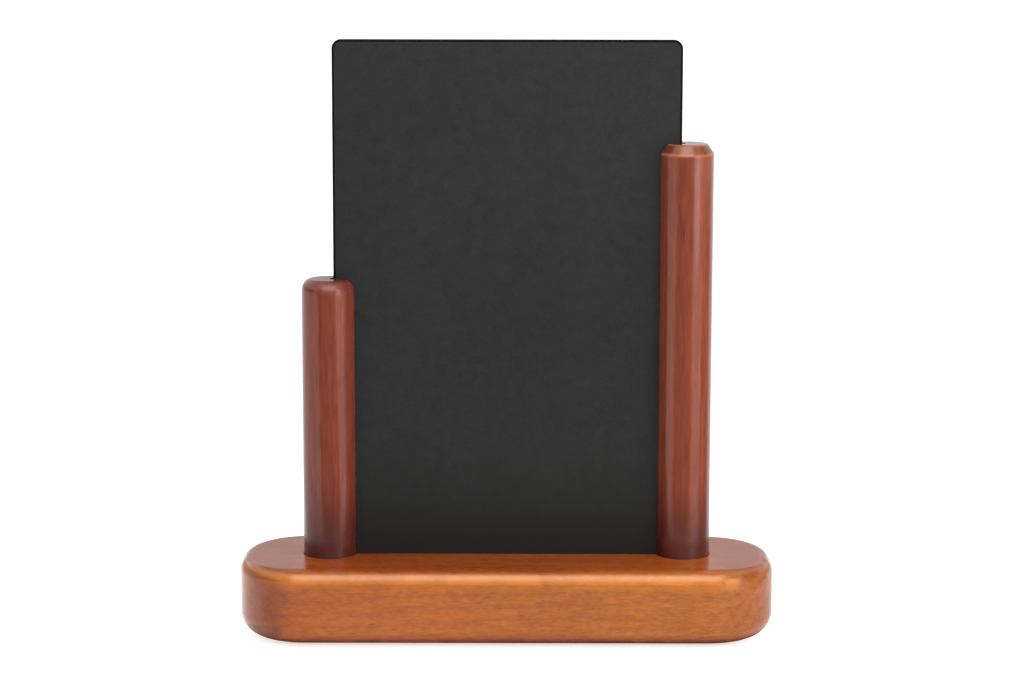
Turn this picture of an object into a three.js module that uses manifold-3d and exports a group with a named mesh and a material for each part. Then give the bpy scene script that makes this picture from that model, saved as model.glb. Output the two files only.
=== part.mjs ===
// Table chalkboard menu holder: a lacquered hardwood base with rounded ends, two turned posts of
// unequal height glued into blind sockets, and a black writing panel that drops into slots in the
// posts and a groove in the base, and lifts straight out again.
// Millimetres, +Z up, front towards -Y. The origin is on the table, under the middle of the base.
import * as THREE from "three";
import { mergeVertices } from "three/addons/utils/BufferGeometryUtils.js";
import Module from "manifold-3d";

const wasm = await Module();
wasm.setup();

// Writing panel
const PANEL_WIDTH = 130;
const PANEL_HEIGHT = 200;
const PANEL_THICKNESS = 3;
const PANEL_CORNER_RADIUS = 3.4;
const PANEL_EDGE_ROUND = 0.9;

// Posts: round stock, the left one short and the right one tall
const POST_DIAMETER = 20;
const SHORT_POST_LENGTH = 115.5;
const TALL_POST_LENGTH = 166.6;
const POST_FOOT_CHAMFER = 0.8;
const SHORT_POST_ROUND_WIDTH = 3.6;
const SHORT_POST_ROUND_HEIGHT = 4.8;
const TALL_POST_CHAMFER_WIDTH = 2.5;
const TALL_POST_CHAMFER_HEIGHT = 3.6;
const TALL_POST_ARRIS = 0.5;

// Slots in the posts and the groove in the base, which guide the panel
const SLOT_DEPTH = 9.2;
const SLOT_SIDE_PLAY = 1.2;
const PANEL_FACE_CLEARANCE = 0.25;
const GROOVE_DEPTH = 5.2;
const PANEL_SEAT_GAP = 0.2;

// Base block, whose upper edge is rounded less than its lower one
const BASE_END_OVERHANG = 33.7;
const BASE_DEPTH = 60;
const BASE_THICKNESS = 29.1;
const BASE_CORNER_RADIUS = 25;
const BASE_TOP_ROUND = 5;
const BASE_BOTTOM_ROUND = 8.8;
const SOCKET_DEPTH = 10;
const SOCKET_CLEARANCE = 0.15;

// Felt pads under the base
const PAD_DIAMETER = 10;
const PAD_THICKNESS = 1.2;
const PAD_EDGE_CHAMFER = 0.3;
const PAD_MARGIN = 4;

// Facets
const POST_SEGMENTS = 56;
const PAD_SEGMENTS = 28;
const BASE_CORNER_DIVISIONS = 8;
const PANEL_CORNER_DIVISIONS = 4;
const ROUND_STEPS = 7;
const PANEL_EDGE_STEPS = 3;
const WELD = 1e-4;
const CUT_OVERRUN = 5;

// Where the pieces meet, worked out from the sizes above
const postRadius = POST_DIAMETER / 2;
const slotEnd = postRadius - SLOT_DEPTH;
const slotWidth = PANEL_THICKNESS + 2 * PANEL_FACE_CLEARANCE;
const postX = PANEL_WIDTH / 2 + SLOT_SIDE_PLAY + slotEnd;
const baseLength = 2 * (postX + BASE_END_OVERHANG);
const baseBottomZ = PAD_THICKNESS;
const baseTopZ = baseBottomZ + BASE_THICKNESS;
const socketFloorZ = baseTopZ - SOCKET_DEPTH;
const grooveFloorZ = baseTopZ - GROOVE_DEPTH;
const panelBottomZ = grooveFloorZ + PANEL_SEAT_GAP;
const cornerRadius = Math.min(BASE_CORNER_RADIUS, BASE_DEPTH / 2);

const finishes = {
  baseWood: new THREE.MeshStandardMaterial({ color: 0xb56c3b, roughness: 0.3, metalness: 0 }),
  postWood: new THREE.MeshStandardMaterial({ color: 0x84412f, roughness: 0.3, metalness: 0 }),
  chalkboard: new THREE.MeshStandardMaterial({ color: 0x353535, roughness: 0.8, metalness: 0 }),
  felt: new THREE.MeshStandardMaterial({ color: 0x2a2321, roughness: 1, metalness: 0 }),
};

// A closed geometry as a solid that can be cut.
function toSolid(geometry) {
  const bare = new THREE.BufferGeometry();
  bare.setAttribute("position", geometry.getAttribute("position"));
  bare.setIndex(geometry.index);
  const welded = mergeVertices(bare, WELD);
  return new wasm.Manifold(
    new wasm.Mesh({
      numProp: 3,
      vertProperties: new Float32Array(welded.attributes.position.array),
      triVerts: new Uint32Array(welded.index.array),
    }),
  );
}

function toGeometry(solid) {
  const { vertProperties, triVerts } = solid.getMesh();
  const geometry = new THREE.BufferGeometry();
  geometry.setAttribute("position", new THREE.BufferAttribute(vertProperties, 3));
  geometry.setIndex(new THREE.BufferAttribute(triVerts, 1));
  geometry.computeVertexNormals();
  return geometry;
}

function piece(name, geometry, material) {
  const mesh = new THREE.Mesh(geometry, material);
  mesh.name = name;
  return mesh;
}

// A rounded rectangle centred on the origin.
function roundedRectangle(length, depth, radius) {
  const x = length / 2 - radius;
  const y = depth / 2 - radius;
  const quarter = Math.PI / 2;
  const shape = new THREE.Shape();
  shape.absarc(x, y, radius, 0, quarter);
  shape.absarc(-x, y, radius, quarter, 2 * quarter);
  shape.absarc(-x, -y, radius, 2 * quarter, 3 * quarter);
  shape.absarc(x, -y, radius, 3 * quarter, 4 * quarter);
  shape.closePath();
  return shape;
}

// A skin over a stack of outlines of equal point counts, from the lowest to the highest, capped flat.
function loft(levels) {
  const count = levels[0].outline.length;
  const positions = levels.flatMap(({ outline, z }) => outline.flatMap((p) => [p.x, p.y, z]));
  const triangles = [];
  for (let level = 0; level + 1 < levels.length; level++) {
    for (let i = 0; i < count; i++) {
      const low = level * count + i;
      const lowNext = level * count + ((i + 1) % count);
      triangles.push(low, lowNext, lowNext + count, low, lowNext + count, low + count);
    }
  }
  const lastLevel = (levels.length - 1) * count;
  for (const [a, b, c] of THREE.ShapeUtils.triangulateShape(levels[0].outline, [])) {
    triangles.push(a, c, b, lastLevel + a, lastLevel + b, lastLevel + c);
  }
  const geometry = new THREE.BufferGeometry();
  geometry.setAttribute("position", new THREE.Float32BufferAttribute(positions, 3));
  geometry.setIndex(triangles);
  return geometry;
}

// A solid of revolution about Z from [radius, height] pairs that start and end on the axis.
function turned(profile, segments) {
  const points = profile.map(([radius, height]) => new THREE.Vector2(radius, height));
  return new THREE.LatheGeometry(points, segments).rotateX(Math.PI / 2);
}

// The inset and rise of a quarter-round at each of its steps, from the wall to the flat.
function quarterRound(width, height) {
  return Array.from({ length: ROUND_STEPS + 1 }, (_, step) => {
    const angle = (step / ROUND_STEPS) * (Math.PI / 2);
    return { inset: width * (1 - Math.cos(angle)), rise: height * Math.sin(angle) };
  });
}

// The block, with both posts' blind sockets and the panel's groove cut into its top.
function baseBlock() {
  const level = (inset, z) => {
    const outline = roundedRectangle(baseLength - 2 * inset, BASE_DEPTH - 2 * inset, cornerRadius - inset);
    const points = outline.getPoints(BASE_CORNER_DIVISIONS);
    if (points[0].distanceTo(points.at(-1)) < WELD) points.pop();
    return { outline: points, z };
  };
  const lower = quarterRound(BASE_BOTTOM_ROUND, BASE_BOTTOM_ROUND).reverse();
  const upper = quarterRound(BASE_TOP_ROUND, BASE_TOP_ROUND);
  const levels = [
    ...lower.map(({ inset, rise }) => level(inset, baseBottomZ + BASE_BOTTOM_ROUND - rise)),
    ...upper.map(({ inset, rise }) => level(inset, baseTopZ - BASE_TOP_ROUND + rise)),
  ];
  const socketRadius = postRadius + SOCKET_CLEARANCE;
  const socketHeight = SOCKET_DEPTH + CUT_OVERRUN;
  const grooveHeight = GROOVE_DEPTH + CUT_OVERRUN;
  let block = toSolid(loft(levels));
  for (const x of [-postX, postX]) {
    const socket = new THREE.CylinderGeometry(socketRadius, socketRadius, socketHeight, POST_SEGMENTS)
      .rotateX(Math.PI / 2)
      .translate(x, 0, socketFloorZ + socketHeight / 2);
    block = block.subtract(toSolid(socket));
  }
  const groove = new THREE.BoxGeometry(2 * postX, slotWidth, grooveHeight)
    .translate(0, 0, grooveFloorZ + grooveHeight / 2);
  return toGeometry(block.subtract(toSolid(groove)));
}

// A post standing on its socket's floor. Its slot faces +X and starts level with the groove's floor.
function slottedPost(length, topProfile) {
  const profile = [
    [0, 0],
    [postRadius - POST_FOOT_CHAMFER, 0],
    [postRadius, POST_FOOT_CHAMFER],
    ...topProfile,
    [0, length],
  ];
  const slotBottom = grooveFloorZ - socketFloorZ;
  const slotLength = SLOT_DEPTH + CUT_OVERRUN;
  const slotHeight = length - slotBottom + CUT_OVERRUN;
  const slot = new THREE.BoxGeometry(slotLength, slotWidth, slotHeight)
    .translate(slotEnd + slotLength / 2, 0, slotBottom + slotHeight / 2);
  return toGeometry(toSolid(turned(profile, POST_SEGMENTS)).subtract(toSolid(slot)));
}

// The short post's top is sanded to an elliptical round.
function roundedTop(length) {
  return quarterRound(SHORT_POST_ROUND_WIDTH, SHORT_POST_ROUND_HEIGHT)
    .map(({ inset, rise }) => [postRadius - inset, length - SHORT_POST_ROUND_HEIGHT + rise]);
}

// The tall post's top has a steep chamfer, with its two arrises just broken.
function chamferedTop(length) {
  const lower = new THREE.Vector2(postRadius, length - TALL_POST_CHAMFER_HEIGHT);
  const upper = new THREE.Vector2(postRadius - TALL_POST_CHAMFER_WIDTH, length);
  const along = upper.clone().sub(lower).setLength(TALL_POST_ARRIS);
  return [
    [lower.x, lower.y - TALL_POST_ARRIS],
    [lower.x + along.x, lower.y + along.y],
    [upper.x - along.x, upper.y - along.y],
    [upper.x - TALL_POST_ARRIS, upper.y],
  ];
}

// The panel, upright, with its lower edge at z = 0 and all its edges rounded over.
function writingPanel() {
  const shape = roundedRectangle(PANEL_WIDTH, PANEL_HEIGHT, PANEL_CORNER_RADIUS);
  const core = PANEL_THICKNESS - 2 * PANEL_EDGE_ROUND;
  return new THREE.ExtrudeGeometry(shape, {
    depth: core,
    curveSegments: PANEL_CORNER_DIVISIONS,
    bevelSize: PANEL_EDGE_ROUND,
    bevelThickness: PANEL_EDGE_ROUND,
    bevelOffset: -PANEL_EDGE_ROUND,
    bevelSegments: PANEL_EDGE_STEPS,
  })
    .translate(0, PANEL_HEIGHT / 2, -core / 2)
    .rotateX(Math.PI / 2);
}

// A disc of felt that stands on the table, with its lower edge eased.
function feltPad() {
  const radius = PAD_DIAMETER / 2;
  const profile = [
    [0, 0],
    [radius - PAD_EDGE_CHAMFER, 0],
    [radius, PAD_EDGE_CHAMFER],
    [radius, PAD_THICKNESS],
    [0, PAD_THICKNESS],
  ];
  return turned(profile, PAD_SEGMENTS);
}

const holder = new THREE.Group();
holder.name = "menu_holder";

holder.add(piece("base", baseBlock(), finishes.baseWood));

const shortPost = piece(
  "short_post",
  slottedPost(SHORT_POST_LENGTH, roundedTop(SHORT_POST_LENGTH)),
  finishes.postWood,
);
shortPost.position.set(-postX, 0, socketFloorZ);
holder.add(shortPost);

const tallPost = piece(
  "tall_post",
  slottedPost(TALL_POST_LENGTH, chamferedTop(TALL_POST_LENGTH)),
  finishes.postWood,
);
tallPost.position.set(postX, 0, socketFloorZ);
tallPost.rotation.z = Math.PI;
holder.add(tallPost);

const panel = piece("writing_panel", writingPanel(), finishes.chalkboard);
panel.position.z = panelBottomZ;
holder.add(panel);

// The pads lie on the flat of the underside, just inside its rounded edge.
const padX = baseLength / 2 - cornerRadius;
const padY = BASE_DEPTH / 2 - BASE_BOTTOM_ROUND - PAD_DIAMETER / 2 - PAD_MARGIN;
for (const [sideName, side] of [["left", -1], ["right", 1]]) {
  for (const [faceName, face] of [["front", -1], ["back", 1]]) {
    const pad = piece(`felt_pad_${faceName}_${sideName}`, feltPad(), finishes.felt);
    pad.position.set(side * padX, face * padY, 0);
    holder.add(pad);
  }
}

export default holder;
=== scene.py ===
"""A table-top menu board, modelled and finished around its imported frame.

A lacquered wooden base carries two slotted wooden posts of unequal height. A black writing panel
stands in the slots and in a groove of the base, and lifts straight out. Felt pads lie underneath.
"""

import math
from contextlib import contextmanager
from typing import NamedTuple

import bmesh
import bpy
from bpy.props import FloatProperty, FloatVectorProperty, PointerProperty
from mathutils import Euler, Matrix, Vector


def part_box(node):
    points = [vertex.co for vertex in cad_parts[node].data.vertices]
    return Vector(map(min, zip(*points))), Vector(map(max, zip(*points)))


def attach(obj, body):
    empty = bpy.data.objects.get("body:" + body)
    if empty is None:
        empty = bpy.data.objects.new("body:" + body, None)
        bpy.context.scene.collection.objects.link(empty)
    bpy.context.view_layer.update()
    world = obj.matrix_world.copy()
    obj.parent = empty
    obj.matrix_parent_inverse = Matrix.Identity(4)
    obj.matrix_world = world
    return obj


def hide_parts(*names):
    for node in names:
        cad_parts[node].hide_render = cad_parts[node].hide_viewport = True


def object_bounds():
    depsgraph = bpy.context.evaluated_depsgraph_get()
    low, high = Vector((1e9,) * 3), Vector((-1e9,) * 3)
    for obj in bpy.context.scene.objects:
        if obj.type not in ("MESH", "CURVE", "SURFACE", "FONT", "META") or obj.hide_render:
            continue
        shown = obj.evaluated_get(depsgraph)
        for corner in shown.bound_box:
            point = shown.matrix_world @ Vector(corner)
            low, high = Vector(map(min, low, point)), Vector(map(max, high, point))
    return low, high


bl_info = {
    "name": "Menu holder",
    "version": (1, 0, 0),
    "blender": (4, 5, 0),
    "location": "3D View > Sidebar > Menu holder",
    "description": "Models a table-top menu board with a lift-out writing panel",
    "category": "Object",
}

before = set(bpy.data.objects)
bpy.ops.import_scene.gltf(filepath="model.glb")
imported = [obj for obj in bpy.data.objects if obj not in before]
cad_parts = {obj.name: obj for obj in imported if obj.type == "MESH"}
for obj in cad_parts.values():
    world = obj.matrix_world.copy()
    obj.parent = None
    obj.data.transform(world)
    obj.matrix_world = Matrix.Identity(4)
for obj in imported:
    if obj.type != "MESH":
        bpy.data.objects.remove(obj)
CAD_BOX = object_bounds()

STAND_BODY = "stand"
PANEL_BODY = "panel"
PAD_NODES = [f"felt_pad_{face}_{side}" for face in ("front", "back") for side in ("left", "right")]

X, Y, Z = range(3)
MM = 0.001
# Points closer than this count as one place.
TOLERANCE = 0.01 * MM
# How far a cutter stands out of the piece that it cuts.
OVERCUT = 5 * MM
# Cut edges sharper than the first angle are broken, and those sharper than the second shade sharp.
ARRIS_ANGLE = math.radians(50)
SHADE_ANGLE = math.radians(40)
ARRIS_SEGMENTS = 2
NORMAL_WEIGHT = 50


# Settings


def length(name, description, millimetres):
    """A length that the user can change, shown in the scene's units."""
    return FloatProperty(
        name=name, description=description, default=millimetres * MM, min=0, precision=4, unit="LENGTH"
    )


def colour(name, description, red, green, blue):
    """A colour that the user can change, in linear light."""
    return FloatVectorProperty(
        name=name, description=description, default=(red, green, blue), min=0, max=1, subtype="COLOR"
    )


def brightness(name, description, radiance):
    """A light's brightness that the user can change, where 1 is white in the picture."""
    return FloatProperty(name=name, description=description, default=radiance, min=0, precision=2)


class BaseSettings(bpy.types.PropertyGroup):
    corner_radius: length("Corner radius", "Radius of the corners, seen from above", 25)
    top_round: length("Top round", "Radius of the upper edge", 5)
    bottom_round: length("Bottom round", "Radius of the lower edge", 8.8)
    socket_depth: length("Socket depth", "Depth of the posts' blind holes", 10)
    socket_clearance: length("Socket clearance", "Gap round a post in its socket", 0.15)
    groove_depth: length("Groove depth", "Depth of the panel's groove", 5.2)
    groove_arris: length("Groove arris", "Rounding of the groove's and sockets' edges", 0.35)
    pale: colour("Pale grain", "Early wood under the stain", 0.465, 0.135, 0.010)
    deep: colour("Deep grain", "Late wood under the stain", 0.278, 0.070, 0.006)
    pore: colour("Pores", "Stain in the pores", 0.15, 0.030, 0.005)
    # Stain soaked into end grain; also the colour of the painted shade at the base's lower edge and ends.
    soaked_and_shaded: colour("Soaked grain", "Wood that took up more stain", 0.090, 0.008, 0.011)
    # Also the colour of the painted highlight at the base's right front corner.
    worn: colour("Worn edge", "Wood where the stain is rubbed thin", 0.66, 0.225, 0.030)
    wear_fade: length("Wear fade", "How far below the upper round the wear ends", 3)
    # Painted shade: the top face is tinted darker and redder than the sides, and darker still at its two
    # ends.
    top_shade: colour("Second coat", "Tint of the top's second coat of stain", 1.0, 0.78, 1.0)
    end_shade: colour("Third coat", "Denser stain on the top's two ends", 0.245, 0.052, 0.014)
    # Painted shade: the base grows darker and purpler towards its left end.
    left_shade_tint: colour("Left tint", "Tint of the wood at the left end", 0.97, 0.80, 0.95)
    right_tint: colour("Right tint", "Tint of the wood at the right end", 1.0, 1.0, 1.0)
    # Painted shade: the base darkens towards its lower edge over this height.
    shade_height: length("Stain pool", "Height of the darker stain at the lower edge", 6)


class PostSettings(bpy.types.PropertyGroup):
    short_round_width: length("Short round width", "Inset of the short post's rounded top", 3.6)
    short_round_height: length("Short round height", "Height of the short post's rounded top", 4.8)
    tall_chamfer_width: length("Tall chamfer width", "Inset of the tall post's chamfer", 2.5)
    tall_chamfer_height: length("Tall chamfer height", "Height of the tall post's chamfer", 3.6)
    chamfer_arris: length("Chamfer arris", "Rounding of the chamfer's two edges", 0.5)
    wear_reach: length("Wear reach", "How far the wear spreads from those edges", 1.0)
    foot_chamfer: length("Foot chamfer", "Chamfer that leads the post into its socket", 0.8)
    slot_depth: length("Slot depth", "Depth of the slot, from the post's inner side", 9.2)
    slot_width: length("Slot width", "Width of the slot and of the base's groove", 3.5)
    slot_arris: length("Slot arris", "Rounding of the slot's edges", 0.2)
    pale: colour("Pale grain", "Early wood under the stain", 0.297, 0.065, 0.029)
    deep: colour("Deep grain", "Late wood under the stain", 0.180, 0.038, 0.018)
    pore: colour("Pores", "Stain in the pores", 0.085, 0.014, 0.009)
    # Stain soaked into end grain; also the colour of the painted shade at the posts' feet and on the tall
    # post's chamfer sides.
    soaked_and_shaded: colour("Soaked grain", "Wood that took up more stain", 0.046, 0.007, 0.009)
    worn: colour("Worn edge", "Wood where the stain is rubbed thin", 0.50, 0.155, 0.040)
    # Painted shade: this tint darkens the posts all round but for their stripes of painted light.
    painted_shade: colour("Dense stain", "Tint where the stain is thicker", 0.87, 0.91, 1.0)
    short_tint: colour("Short post tint", "Tint of the short post's wood", 0.87, 0.82, 0.86)
    tall_tint: colour("Tall post tint", "Tint of the tall post's wood", 0.90, 0.87, 0.82)
    # Painted shade: the posts darken towards the base over this height.
    shade_height: length("Stain pool", "How far up from the base the stain has pooled", 34)
    dull_height: length("Dull foot", "How far up from the base the lacquer is dull", 22)


class PanelSettings(bpy.types.PropertyGroup):
    corner_radius: length("Corner radius", "Radius of the four corners", 3.4)
    edge_round: length("Edge round", "Rounding of the edges", 0.9)
    face: colour("Face", "Chalkboard paint", 0.0053, 0.0057, 0.0055)
    dust: colour("Dust", "Chalk left after wiping", 0.0223, 0.0236, 0.0228)
    # Also the colour of the painted shade at the board's foot.
    edge: colour("Edge", "Paint on the edges", 0.0022, 0.0022, 0.0020)
    chip: colour("Chip", "Board that shows where an edge is knocked", 0.050, 0.047, 0.038)


class PadSettings(bpy.types.PropertyGroup):
    edge_round: length("Edge round", "Softened lower edge", 0.3)
    press_margin: length("Press margin", "Width of the ring that the pad stands on", 1.2)
    press_slope: length("Press slope", "Width of the slope inside that ring", 0.6)
    press_depth: length("Press depth", "How far the middle is pressed in", 0.15)
    felt: colour("Felt", "Pressed felt", 0.030, 0.023, 0.020)
    fibre: colour("Fibre", "Paler fibres in the felt", 0.085, 0.070, 0.060)


class StudioSettings(bpy.types.PropertyGroup):
    camera_side: length("Camera side", "How far right of the middle the camera stands", 1.9)
    camera_distance: length("Camera distance", "How far in front the camera stands", 1041.9)
    camera_height: length("Camera height", "Height of the camera over the table", 299.9)
    camera_tilt: FloatProperty(
        name="Camera tilt", description="How far the camera looks down", default=0.1636, subtype="ANGLE"
    )
    camera_roll: FloatProperty(
        name="Camera roll", description="How far the camera leans left", default=0.002, subtype="ANGLE"
    )
    camera_lens: FloatProperty(
        name="Focal length", description="For a sensor 36 mm wide", default=98.98, min=1, unit="CAMERA"
    )
    camera_shift: FloatProperty(
        name="Vertical shift", description="Frame's shift, as a share of its width", default=-0.04
    )
    tent_back: brightness("Tent back", "White tent's wall behind", 0.82)
    tent_front: brightness("Tent front", "Tent beside its open front", 0.3)
    tent_slope: brightness("Tent slope", "Tent above its walls", 0.25)
    tent_roof: brightness("Tent roof", "Tent overhead", 1.5)
    key: brightness("Key light", "Soft light on the right", 5.4)
    ceiling: brightness("Ceiling light", "Large light over the front", 0.6)
    floor: colour("Floor", "Translucent white sheet under the holder", 0.5, 0.5, 0.498)
    # Painted shadow: how much the sheet glows under the holder.
    painted_shadow_glow: brightness("Floor glow", "Light through the sheet under the holder", 0.15)
    backdrop_glow: brightness("Backdrop glow", "Light through the sheet all round it", 0.84)
    front_opening: brightness("Mirrored front", "Room through the tent's front", 0.22)
    right_opening: brightness("Mirrored right", "Room through the tent's right side", 0.32)
    key_patch: brightness("Mirrored key patch", "Floor under the key light", 1.6)
    left_sheet: brightness("Mirrored left sheet", "Brighter sheet to the left of the base", 1.9)
    under_base: brightness("Mirrored shade", "Floor under the base", 0.02)
    round_base: brightness("Mirrored floor", "Floor close to the base", 1.2)
    ceiling_glow: brightness("Mirrored lamp", "Lamp behind the tent's cloth", 6.1)
    ceiling_rim: brightness("Mirrored lamp rim", "Cloth round that lamp", 1.2)
    left_glow: brightness("Mirrored left side", "Tent's left side", 1.8)
    right_glow: brightness("Mirrored right side", "Tent's right side", 1.296)
    back_left_glow: brightness("Mirrored back left", "Tent's back left corner", 1.3)
    back_right_glow: brightness("Mirrored back right", "Tent's back right corner", 1.3)
    key_face: brightness("Mirrored key", "Key light itself", 3.9)


# Modelling


def activate(piece):
    """Leaves one object selected and active."""
    bpy.ops.object.select_all(action="DESELECT")
    piece.select_set(True)
    bpy.context.view_layer.objects.active = piece


@contextmanager
def editing(piece):
    """Opens a piece in edit mode for a block of steps, and closes it after them."""
    activate(piece)
    bpy.ops.object.mode_set(mode="EDIT")
    yield
    bpy.ops.object.mode_set(mode="OBJECT")


def add_primitive(name, operator, **settings):
    """Adds a named primitive, with nothing else selected."""
    bpy.ops.object.select_all(action="DESELECT")
    operator(**settings)
    piece = bpy.context.object
    piece.name = piece.data.name = name
    return piece


def settle():
    """Moves the selected object's place, turn and scale into its mesh."""
    bpy.ops.object.transform_apply(location=True, rotation=True, scale=True)


def add_block(name, low, high):
    """A block between two corners, with its place in its mesh."""
    shape = {"size": 1, "scale": high - low}
    block = add_primitive(name, bpy.ops.mesh.primitive_cube_add, location=(low + high) / 2, **shape)
    settle()
    return block


def add_rod(name, foot, radius, height, sides):
    """An upright cylinder standing on a point, with its place in its mesh."""
    middle = foot + Vector((0, 0, height / 2))
    shape = {"vertices": sides, "radius": radius, "depth": height}
    rod = add_primitive(name, bpy.ops.mesh.primitive_cylinder_add, location=middle, **shape)
    settle()
    return rod


def add_sheet(name, place, turn=(0, 0, 0), size=1):
    """A flat square round its own middle."""
    return add_primitive(name, bpy.ops.mesh.primitive_plane_add, size=size, location=place, rotation=turn)


def alike(*axes):
    """A test for the edges whose two ends are alike along some axes."""
    return lambda a, b: all(abs(a[axis] - b[axis]) < TOLERANCE for axis in axes)


def level_at(height):
    """A test for the edges that lie level at a height."""
    return lambda a, b: abs(a.z - height) < TOLERANCE and abs(b.z - height) < TOLERANCE


def level_above(height):
    """A test for the edges that lie level at a height or above it."""
    return lambda a, b: alike(Z)(a, b) and a.z > height - TOLERANCE


def select_edges(piece, wanted):
    """In edit mode, selects the edges whose two ends pass a test of position."""
    bpy.ops.mesh.select_mode(type="EDGE")
    bpy.ops.mesh.select_all(action="DESELECT")
    mesh = bmesh.from_edit_mesh(piece.data)
    found = [edge for edge in mesh.edges if wanted(*(vertex.co for vertex in edge.verts))]
    if not found:
        raise RuntimeError(f"{piece.name} has no such edge to shape")
    for edge in found:
        edge.select_set(True)
    bmesh.update_edit_mesh(piece.data)


def select_end(piece, upward):
    """In edit mode, selects the highest face that looks up, or with -1 the lowest that looks down."""
    bpy.ops.mesh.select_mode(type="FACE")
    bpy.ops.mesh.select_all(action="DESELECT")
    mesh = bmesh.from_edit_mesh(piece.data)
    level = [face for face in mesh.faces if face.normal.z * upward > 0.99]
    max(level, key=lambda face: face.calc_center_median().z * upward).select_set(True)
    bmesh.update_edit_mesh(piece.data)


def round_edges(piece, wanted, radius, segments):
    """Rounds the edges that pass a test of position."""
    with editing(piece):
        select_edges(piece, wanted)
        bpy.ops.mesh.bevel(offset=radius, segments=segments, profile=0.5, affect="EDGES")


def add_ring(piece, height):
    """Cuts the skin across at a height, so that painted amounts have points to end at."""
    with editing(piece):
        bpy.ops.mesh.select_all(action="SELECT")
        bpy.ops.mesh.bisect(plane_co=(0, 0, height), plane_no=(0, 0, 1))


def weld(piece):
    """Merges the points that cuts and bevels left on top of each other."""
    with editing(piece):
        bpy.ops.mesh.select_all(action="SELECT")
        bpy.ops.mesh.remove_doubles(threshold=TOLERANCE)
        bpy.ops.mesh.dissolve_degenerate(threshold=TOLERANCE)


def apply_modifier(piece, kind, **settings):
    """Adds a modifier with the given settings and applies it."""
    activate(piece)
    modifier = piece.modifiers.new(kind.title(), kind)
    for name, value in settings.items():
        setattr(modifier, name, value)
    bpy.ops.object.modifier_apply(modifier=modifier.name)


def cut(piece, cutter):
    """Takes the cutter's space out of the piece, and removes the cutter."""
    apply_modifier(piece, "BOOLEAN", operation="DIFFERENCE", solver="EXACT", object=cutter)
    bpy.data.objects.remove(cutter)


def smooth(piece, arris=0):
    """Breaks the sharp edges that cuts left, closes the skin, and shades flats flat and rounds round."""
    if arris:
        shape = {"width": arris, "segments": ARRIS_SEGMENTS}
        apply_modifier(piece, "BEVEL", limit_method="ANGLE", angle_limit=ARRIS_ANGLE, **shape)
    weld(piece)
    bpy.ops.object.shade_smooth_by_angle(angle=SHADE_ANGLE)
    apply_modifier(piece, "WEIGHTED_NORMAL", weight=NORMAL_WEIGHT, keep_sharp=True)


def ease(value, start, end):
    """Goes smoothly from 0 at the start to 1 at the end."""
    share = min(max((value - start) / (end - start), 0), 1)
    return share * share * (3 - 2 * share)


def paint(piece, name, amount):
    """Stores an amount from 0 to 1 at each point, for the material to read."""
    mesh = piece.data
    attribute = mesh.attributes.new(name, "FLOAT", "POINT")
    for vertex in mesh.vertices:
        attribute.data[vertex.index].value = amount(vertex)


def deliver(piece, body, slot, node, *materials):
    """Gives the piece its materials and puts it in the frame, in place of its CAD node."""
    for material in materials:
        piece.data.materials.append(material)
    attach(piece, body)
    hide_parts(node)


# Shader nodes


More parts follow.
